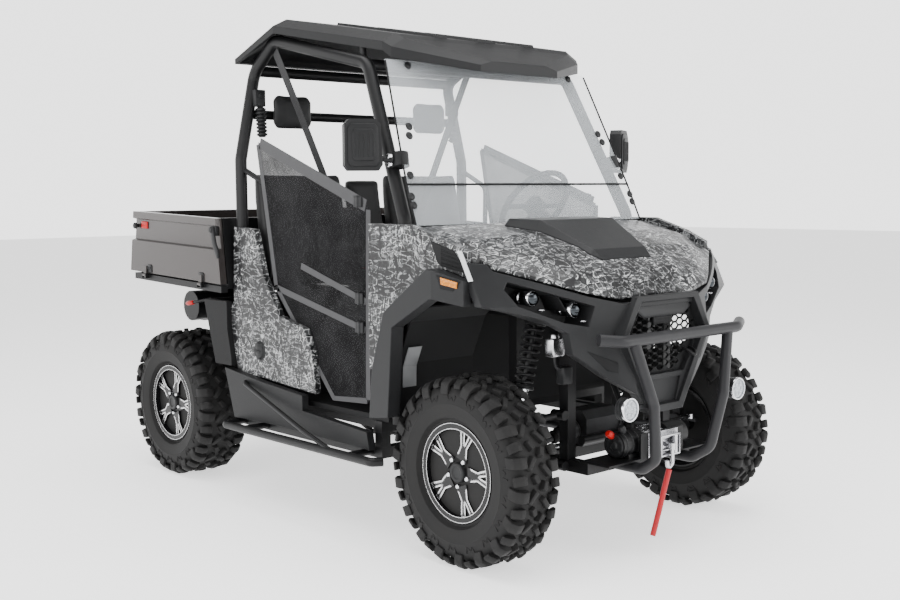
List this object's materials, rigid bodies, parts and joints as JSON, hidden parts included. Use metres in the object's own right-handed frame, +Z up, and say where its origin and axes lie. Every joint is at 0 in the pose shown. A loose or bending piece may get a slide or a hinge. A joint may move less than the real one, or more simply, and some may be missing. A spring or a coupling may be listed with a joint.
{
  "type": "side by side utility vehicle",
  "caption": "Side by side utility vehicle with a tube cage, hard roof, split windshield, side nets, winch, knobbly tyres and a tipping bed with drop sides.",
  "frame": {"origin": "on the ground, under the middle of the vehicle's bounding box", "axes": "+X forward, +Y to the vehicle's left, +Z up"},
  "size_m": [2.6955, 1.5154, 1.936],
  "materials": {
    "frame_rails": "black powder coat, satin",
    "frame_posts": "black powder coat, satin",
    "frame_members": "black powder coat, satin",
    "hitch_receiver": "black powder coat, satin",
    "cage": "black powder coat, satin",
    "rim_front_right": "black alloy with a machined face",
    "rim_front_left": "black alloy with a machined face",
    "rim_rear_right": "black alloy with a machined face",
    "rim_rear_left": "black alloy with a machined face",
    "tyre_front_right": "dull black",
    "tyre_front_left": "dull black",
    "tyre_rear_right": "dull black",
    "tyre_rear_left": "dull black",
    "suspension_arms": "black powder coat, satin",
    "shocks": "black springs over bright bodies",
    "knuckle_right": "cast, dark",
    "knuckle_left": "cast, dark",
    "steering_rack": "bright rods",
    "axle_drives": "cast cases and rubber boots",
    "engine": "cast, dull",
    "muffler": "heat-proof black, matte",
    "floor_pan": "black, grained",
    "seat_base": "black, grained",
    "seat_cushions": "black and grey vinyl",
    "seat_backs": "black and grey vinyl",
    "headrests": "black vinyl",
    "dashboard": "black, grained",
    "steering_column": "black",
    "steering_wheel": "black grip",
    "side_panels": "grey woodland camouflage film",
    "rocker_panels": "black, fine grain",
    "step_rails": "black powder coat, satin",
    "rear_guards": "black, fine grain",
    "front_fenders": "grey woodland camouflage film",
    "wheel_arches": "black, satin",
    "wheel_liners": "black, matte",
    "hood": "grey woodland camouflage film",
    "hood_scoop": "black, satin",
    "nose_fascia": "black, satin",
    "grille": "black, matte",
    "bumper": "charcoal powder coat",
    "lamps": "clear lenses",
    "winch": "black, satin",
    "fairlead": "bright rollers and hook",
    "pull_strap": "red webbing",
    "roof": "black, fine grain",
    "windshield": "clear, faintly blue",
    "mirrors": "black shells with mirror glass",
    "side_nets": "black mesh with grey webbing",
    "seat_belts": "black webbing",
    "bed_tub": "black liner",
    "gate_right": "brown-grey metallic paint",
    "gate_left": "brown-grey metallic paint",
    "tailgate": "brown-grey metallic paint"
  },
  "bodies": {
    "chassis": {"frame_rails": "frame_rails", "frame_posts": "frame_posts", "frame_members": "frame_members", "hitch_receiver": "hitch_receiver", "cage": "cage", "suspension_arms": "suspension_arms", "shocks": "shocks", "axle_drives": "axle_drives", "engine": "engine", "muffler": "muffler", "floor_pan": "floor_pan", "seat_base": "seat_base", "seat_cushions": "seat_cushions", "seat_backs": "seat_backs", "headrests": "headrests", "dashboard": "dashboard", "steering_column": "steering_column", "side_panels": "side_panels", "rocker_panels": "rocker_panels", "step_rails": "step_rails", "rear_guards": "rear_guards", "front_fenders": "front_fenders", "wheel_arches": "wheel_arches", "wheel_liners": "wheel_liners", "nose_fascia": "nose_fascia", "grille": "grille", "bumper": "bumper", "lamps": "lamps", "winch": "winch", "fairlead": "fairlead", "pull_strap": "pull_strap", "roof": "roof", "windshield": "windshield", "mirrors": "mirrors", "side_nets": "side_nets", "seat_belts": "seat_belts"},
    "knuckle_right": {"knuckle_right": "knuckle_right"},
    "knuckle_left": {"knuckle_left": "knuckle_left"},
    "rack": {"steering_rack": "steering_rack"},
    "handwheel": {"steering_wheel": "steering_wheel"},
    "wheel_front_right": {"rim_front_right": "rim_front_right", "tyre_front_right": "tyre_front_right"},
    "wheel_front_left": {"rim_front_left": "rim_front_left", "tyre_front_left": "tyre_front_left"},
    "wheel_rear_right": {"rim_rear_right": "rim_rear_right", "tyre_rear_right": "tyre_rear_right"},
    "wheel_rear_left": {"rim_rear_left": "rim_rear_left", "tyre_rear_left": "tyre_rear_left"},
    "bonnet": {"hood": "hood", "hood_scoop": "hood_scoop"},
    "bed": {"bed_tub": "bed_tub"},
    "side_gate_right": {"gate_right": "gate_right"},
    "side_gate_left": {"gate_left": "gate_left"},
    "rear_gate": {"tailgate": "tailgate"}
  },
  "joints": [
    {"name": "bed_tilt", "type": "hinge", "parent": "chassis", "child": "bed", "pos_m": [-1.215, 0, 0.8], "axis": [0, -1, 0], "range_deg": [0, 40]},
    {"name": "tailgate_drop", "type": "hinge", "parent": "bed", "child": "rear_gate", "pos_m": [-1.28688, 0, 0.89056], "axis": [0, -1, 0], "range_deg": [0, 88]},
    {"name": "gate_right_drop", "type": "hinge", "parent": "bed", "child": "side_gate_right", "pos_m": [-0.91222, -0.708, 0.87448], "axis": [0.9994, 0, -0.0349], "range_deg": [0, 170]},
    {"name": "gate_left_drop", "type": "hinge", "parent": "bed", "child": "side_gate_left", "pos_m": [-0.91222, 0.708, 0.87448], "axis": [-0.9994, 0, 0.0349], "range_deg": [0, 170]},
    {"name": "hood_lift", "type": "hinge", "parent": "chassis", "child": "bonnet", "pos_m": [1.182, 0, 0.878], "axis": [0, 1, 0], "range_deg": [0, 60]},
    {"name": "steer_right", "type": "hinge", "parent": "chassis", "child": "knuckle_right", "pos_m": [0.885, -0.52, 0.3175], "axis": [0, 0, 1], "range_deg": [-30, 30]},
    {"name": "steer_left", "type": "hinge", "parent": "chassis", "child": "knuckle_left", "pos_m": [0.885, 0.52, 0.3175], "axis": [0, 0, 1], "range_deg": [-30, 30]},
    {"name": "rack_slide", "type": "slide", "parent": "chassis", "child": "rack", "axis": [0, 1, 0], "range_m": [-0.0402, 0.0402]},
    {"name": "handwheel_turn", "type": "hinge", "parent": "chassis", "child": "handwheel", "pos_m": [0.295, 0.32, 1.18], "axis": [-0.8192, 0, 0.5736], "range_deg": [-270.5, 270.5]},
    {"name": "wheel_spin_front_right", "type": "hinge", "parent": "knuckle_right", "child": "wheel_front_right", "pos_m": [0.885, -0.59, 0.3175], "axis": [0, 1, 0], "continuous": true},
    {"name": "wheel_spin_front_left", "type": "hinge", "parent": "knuckle_left", "child": "wheel_front_left", "pos_m": [0.885, 0.59, 0.3175], "axis": [0, 1, 0], "continuous": true},
    {"name": "wheel_spin_rear_right", "type": "hinge", "parent": "chassis", "child": "wheel_rear_right", "pos_m": [-0.985, -0.585, 0.3175], "axis": [0, 1, 0], "continuous": true},
    {"name": "wheel_spin_rear_left", "type": "hinge", "parent": "chassis", "child": "wheel_rear_left", "pos_m": [-0.985, 0.585, 0.3175], "axis": [0, 1, 0], "continuous": true}
  ],
  "couplings": [
    {"joint": "steer_left", "follows": "steer_right", "ratio": 1},
    {"joint": "rack_slide", "follows": "steer_right", "m_per_rad": 0.0764},
    {"joint": "handwheel_turn", "follows": "steer_right", "ratio": 9}
  ]
}
